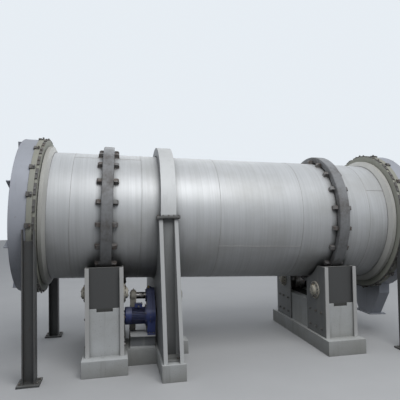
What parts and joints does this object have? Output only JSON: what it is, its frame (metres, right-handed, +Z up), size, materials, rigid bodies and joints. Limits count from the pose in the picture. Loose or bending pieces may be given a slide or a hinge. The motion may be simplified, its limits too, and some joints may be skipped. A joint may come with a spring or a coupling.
{
  "type": "rotary kiln",
  "caption": "Short inclined rotary kiln drum on tyres and rollers, turned by a girth gear and pinion, with a sealed hood at each end.",
  "frame": {"origin": "on the ground under the middle of the drum", "axes": "+X along the plant towards the discharge end, -Y the drive side, +Z up"},
  "size_m": [5.2396, 2.48, 2.7561],
  "materials": {
    "shell_steel": "satin rolled sheet with fine rings and dust",
    "refractory": "cast lining, scorched",
    "rolled_steel": "dull rolled steel, darker and rusty low down",
    "plate_steel": "raw welded plate",
    "gear_steel": "greased cast teeth",
    "stand_paint": "weathered grey paint",
    "bearing_iron": "dull cast iron with primer",
    "concrete": "cast concrete, weather stained",
    "guard_paint": "pale paint with rain streaks",
    "casing_paint": "grey paint, streaked",
    "drive_paint": "dark blue enamel, dusty",
    "base_paint": "dark grey paint",
    "hood_paint": "pale blue-grey paint",
    "seal_paint": "green-grey paint, scuffed",
    "clamp_steel": "dark bolted clamps",
    "post_paint": "grey paint with rust at the foot"
  },
  "bodies": {
    "root": {"feed_stand_front": "stand_paint", "feed_stand_back": "stand_paint", "discharge_stand_front": "stand_paint", "discharge_stand_back": "stand_paint", "feed_roller_bearings": "bearing_iron", "discharge_roller_bearings": "bearing_iron", "feed_pier": "concrete", "discharge_pier": "concrete", "guard_cover": "guard_paint", "guard_casing": "casing_paint", "pinion_bearing_outer": "bearing_iron", "pinion_bearing_inner": "bearing_iron", "gear_reducer": "drive_paint", "motor": "drive_paint", "motor_cowl": "drive_paint", "motor_terminal_box": "drive_paint", "drive_base": "base_paint", "drive_plinth": "concrete", "feed_hood": "hood_paint", "feed_seal_housing": "seal_paint", "feed_seal_clamps": "clamp_steel", "feed_inlet": "hood_paint", "feed_hood_posts": "post_paint", "discharge_hood": "hood_paint", "discharge_seal_housing": "seal_paint", "discharge_seal_clamps": "clamp_steel", "burner_port": "hood_paint", "discharge_chute": "hood_paint", "discharge_hood_posts": "post_paint"},
    "drum": {"drum_shell": "shell_steel", "drum_lining": "refractory", "feed_seal_ring": "shell_steel", "discharge_seal_ring": "shell_steel", "feed_tyre": "rolled_steel", "discharge_tyre": "rolled_steel", "feed_tyre_pads": "plate_steel", "discharge_tyre_pads": "plate_steel", "girth_gear": "gear_steel", "gear_seat": "plate_steel"},
    "feed_roller_front": {"feed_roller_front": "rolled_steel"},
    "feed_roller_back": {"feed_roller_back": "rolled_steel"},
    "discharge_roller_front": {"discharge_roller_front": "rolled_steel"},
    "discharge_roller_back": {"discharge_roller_back": "rolled_steel"},
    "pinion": {"pinion": "gear_steel"}
  },
  "joints": [
    {"name": "drum_spin", "type": "hinge", "parent": "root", "child": "drum", "pos_m": [0, 0, 1.7], "axis": [0.9993, 0, -0.0366], "continuous": true},
    {"name": "feed_roller_front_spin", "type": "hinge", "parent": "root", "child": "feed_roller_front", "pos_m": [-1.48453, -0.5279, 0.83947], "axis": [0.9993, 0, -0.0366], "continuous": true},
    {"name": "feed_roller_back_spin", "type": "hinge", "parent": "root", "child": "feed_roller_back", "pos_m": [-1.48453, 0.5279, 0.83947], "axis": [0.9993, 0, -0.0366], "continuous": true},
    {"name": "discharge_roller_front_spin", "type": "hinge", "parent": "root", "child": "discharge_roller_front", "pos_m": [1.41752, -0.5279, 0.73306], "axis": [0.9993, 0, -0.0366], "continuous": true},
    {"name": "discharge_roller_back_spin", "type": "hinge", "parent": "root", "child": "discharge_roller_back", "pos_m": [1.41752, 0.5279, 0.73306], "axis": [0.9993, 0, -0.0366], "continuous": true},
    {"name": "pinion_spin", "type": "hinge", "parent": "root", "child": "pinion", "pos_m": [-0.80038, -0.26658, 0.73378], "axis": [0.9993, 0, -0.0366], "continuous": true}
  ],
  "couplings": [
    {"joint": "feed_roller_front_spin", "follows": "drum_spin", "ratio": -5.8097},
    {"joint": "feed_roller_back_spin", "follows": "drum_spin", "ratio": -5.8097},
    {"joint": "discharge_roller_front_spin", "follows": "drum_spin", "ratio": -5.8097},
    {"joint": "discharge_roller_back_spin", "follows": "drum_spin", "ratio": -5.8097},
    {"joint": "pinion_spin", "follows": "drum_spin", "ratio": -5.0588}
  ]
}
